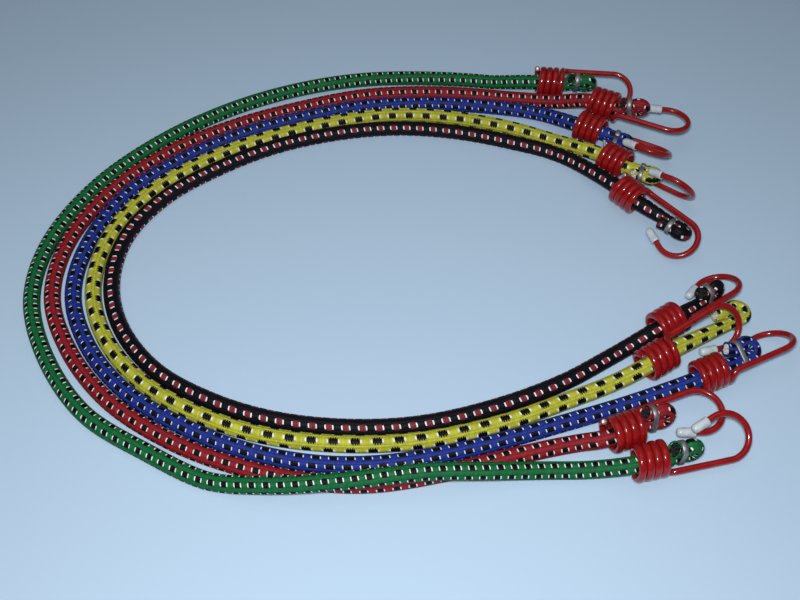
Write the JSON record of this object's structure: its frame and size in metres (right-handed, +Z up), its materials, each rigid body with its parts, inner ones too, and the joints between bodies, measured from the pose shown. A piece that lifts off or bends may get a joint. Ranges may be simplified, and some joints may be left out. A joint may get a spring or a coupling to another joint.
{
  "type": "bungee cord set",
  "caption": "Elastic cords with braided sheaths, laid nested in a C, each end doubled through a coiled wire hook with a vinyl tip cap and crimped by a steel clip.",
  "frame": {"origin": "centre of the bounding box, on the table the cords lie on", "axes": "+X towards the open side of the C, where the hooks are; +Y towards the upper ends; +Z up from the table"},
  "size_m": [0.3703, 0.2759, 0.0235],
  "materials": {
    "green_braid": "braided textile with contrasting tracer yarns",
    "red_braid": "braided textile with contrasting tracer yarns",
    "blue_braid": "braided textile with contrasting tracer yarns",
    "yellow_braid": "braided textile with contrasting tracer yarns",
    "black_braid": "braided textile with contrasting tracer yarns",
    "latex": "natural latex strands",
    "hook_red": "gloss dip coating on steel wire",
    "tip_vinyl": "milky translucent vinyl",
    "clip_steel": "plain galvanised strip"
  },
  "bodies": {
    "cords": {"green_sheath": "green_braid", "green_core": "latex", "red_sheath": "red_braid", "red_core": "latex", "blue_sheath": "blue_braid", "blue_core": "latex", "yellow_sheath": "yellow_braid", "yellow_core": "latex", "black_sheath": "black_braid", "black_core": "latex", "green_clip_upper": "clip_steel", "red_clip_lower": "clip_steel", "blue_clip_upper": "clip_steel", "yellow_clip_lower": "clip_steel", "black_clip_upper": "clip_steel"},
    "green_lower_end": {"green_clip_lower": "clip_steel"},
    "green_upper_hook": {"green_hook_upper": "hook_red", "green_tip_upper": "tip_vinyl"},
    "green_lower_hook": {"green_hook_lower": "hook_red", "green_tip_lower": "tip_vinyl"},
    "red_upper_end": {"red_clip_upper": "clip_steel"},
    "red_upper_hook": {"red_hook_upper": "hook_red", "red_tip_upper": "tip_vinyl"},
    "red_lower_hook": {"red_hook_lower": "hook_red", "red_tip_lower": "tip_vinyl"},
    "blue_lower_end": {"blue_clip_lower": "clip_steel"},
    "blue_upper_hook": {"blue_hook_upper": "hook_red", "blue_tip_upper": "tip_vinyl"},
    "blue_lower_hook": {"blue_hook_lower": "hook_red", "blue_tip_lower": "tip_vinyl"},
    "yellow_upper_end": {"yellow_clip_upper": "clip_steel"},
    "yellow_upper_hook": {"yellow_hook_upper": "hook_red", "yellow_tip_upper": "tip_vinyl"},
    "yellow_lower_hook": {"yellow_hook_lower": "hook_red", "yellow_tip_lower": "tip_vinyl"},
    "black_lower_end": {"black_clip_lower": "clip_steel"},
    "black_upper_hook": {"black_hook_upper": "hook_red", "black_tip_upper": "tip_vinyl"},
    "black_lower_hook": {"black_hook_lower": "hook_red", "black_tip_lower": "tip_vinyl"}
  },
  "joints": [
    {"name": "green_stretch", "type": "slide", "parent": "cords", "child": "green_lower_end", "axis": [0.8901, 0.2055, 0.4067], "range_m": [0, 0.3], "stiffness_N_per_m": 120, "deforming": ["green_sheath", "green_core"]},
    {"name": "green_upper_hook_turn", "type": "hinge", "parent": "cords", "child": "green_upper_hook", "pos_m": [0.0853, 0.1248, 0.0086], "axis": [0.9962, -0.0872, 0], "range_deg": [-20, 40]},
    {"name": "green_lower_hook_turn", "type": "hinge", "parent": "green_lower_end", "child": "green_lower_hook", "pos_m": [0.1082, -0.122, 0.0086], "axis": [0.9744, 0.225, 0], "range_deg": [-2, 105]},
    {"name": "red_stretch", "type": "slide", "parent": "cords", "child": "red_upper_end", "axis": [0.828, -0.3861, 0.4067], "range_m": [0, 0.3], "stiffness_N_per_m": 120, "deforming": ["red_sheath", "red_core"]},
    {"name": "red_upper_hook_turn", "type": "hinge", "parent": "red_upper_end", "child": "red_upper_hook", "pos_m": [0.1138, 0.1006, 0.0132], "axis": [0.9063, -0.4226, 0], "range_deg": [-14, 60]},
    {"name": "red_lower_hook_turn", "type": "hinge", "parent": "cords", "child": "red_lower_hook", "pos_m": [0.0984, -0.1073, 0.0086], "axis": [0.933, 0.3582, 0.0349], "range_deg": [-2, 18]},
    {"name": "blue_stretch", "type": "slide", "parent": "cords", "child": "blue_lower_end", "axis": [0.8865, 0.4134, 0.2079], "range_m": [0, 0.3], "stiffness_N_per_m": 120, "deforming": ["blue_sheath", "blue_core"]},
    {"name": "blue_upper_hook_turn", "type": "hinge", "parent": "cords", "child": "blue_upper_hook", "pos_m": [0.1043, 0.0869, 0.0086], "axis": [0.891, -0.454, 0], "range_deg": [-65, 5]},
    {"name": "blue_lower_hook_turn", "type": "hinge", "parent": "blue_lower_end", "child": "blue_lower_hook", "pos_m": [0.1422, -0.0764, 0.0086], "axis": [0.906, 0.4225, 0.0244], "range_deg": [-75, 5]},
    {"name": "yellow_stretch", "type": "slide", "parent": "cords", "child": "yellow_upper_end", "axis": [0.8059, -0.5855, 0.0872], "range_m": [0, 0.3], "stiffness_N_per_m": 120, "deforming": ["yellow_sheath", "yellow_core"]},
    {"name": "yellow_upper_hook_turn", "type": "hinge", "parent": "yellow_upper_end", "child": "yellow_upper_hook", "pos_m": [0.115, 0.0615, 0.0086], "axis": [0.809, -0.5878, 0], "range_deg": [-8, 3]},
    {"name": "yellow_lower_hook_turn", "type": "hinge", "parent": "cords", "child": "yellow_lower_hook", "pos_m": [0.1186, -0.0687, 0.009], "axis": [0.8508, 0.5112, 0.1219], "range_deg": [-12, 8]},
    {"name": "black_stretch", "type": "slide", "parent": "cords", "child": "black_lower_end", "axis": [0.8008, 0.5401, 0.2588], "range_m": [0, 0.3], "stiffness_N_per_m": 120, "deforming": ["black_sheath", "black_core"]},
    {"name": "black_upper_hook_turn", "type": "hinge", "parent": "cords", "child": "black_upper_hook", "pos_m": [0.1192, 0.0368, 0.0086], "axis": [0.6561, -0.7547, 0], "range_deg": [-6, 80]},
    {"name": "black_lower_hook_turn", "type": "hinge", "parent": "black_lower_end", "child": "black_lower_hook", "pos_m": [0.1269, -0.0475, 0.0086], "axis": [0.829, 0.5592, 0], "range_deg": [-4, 8]}
  ]
}
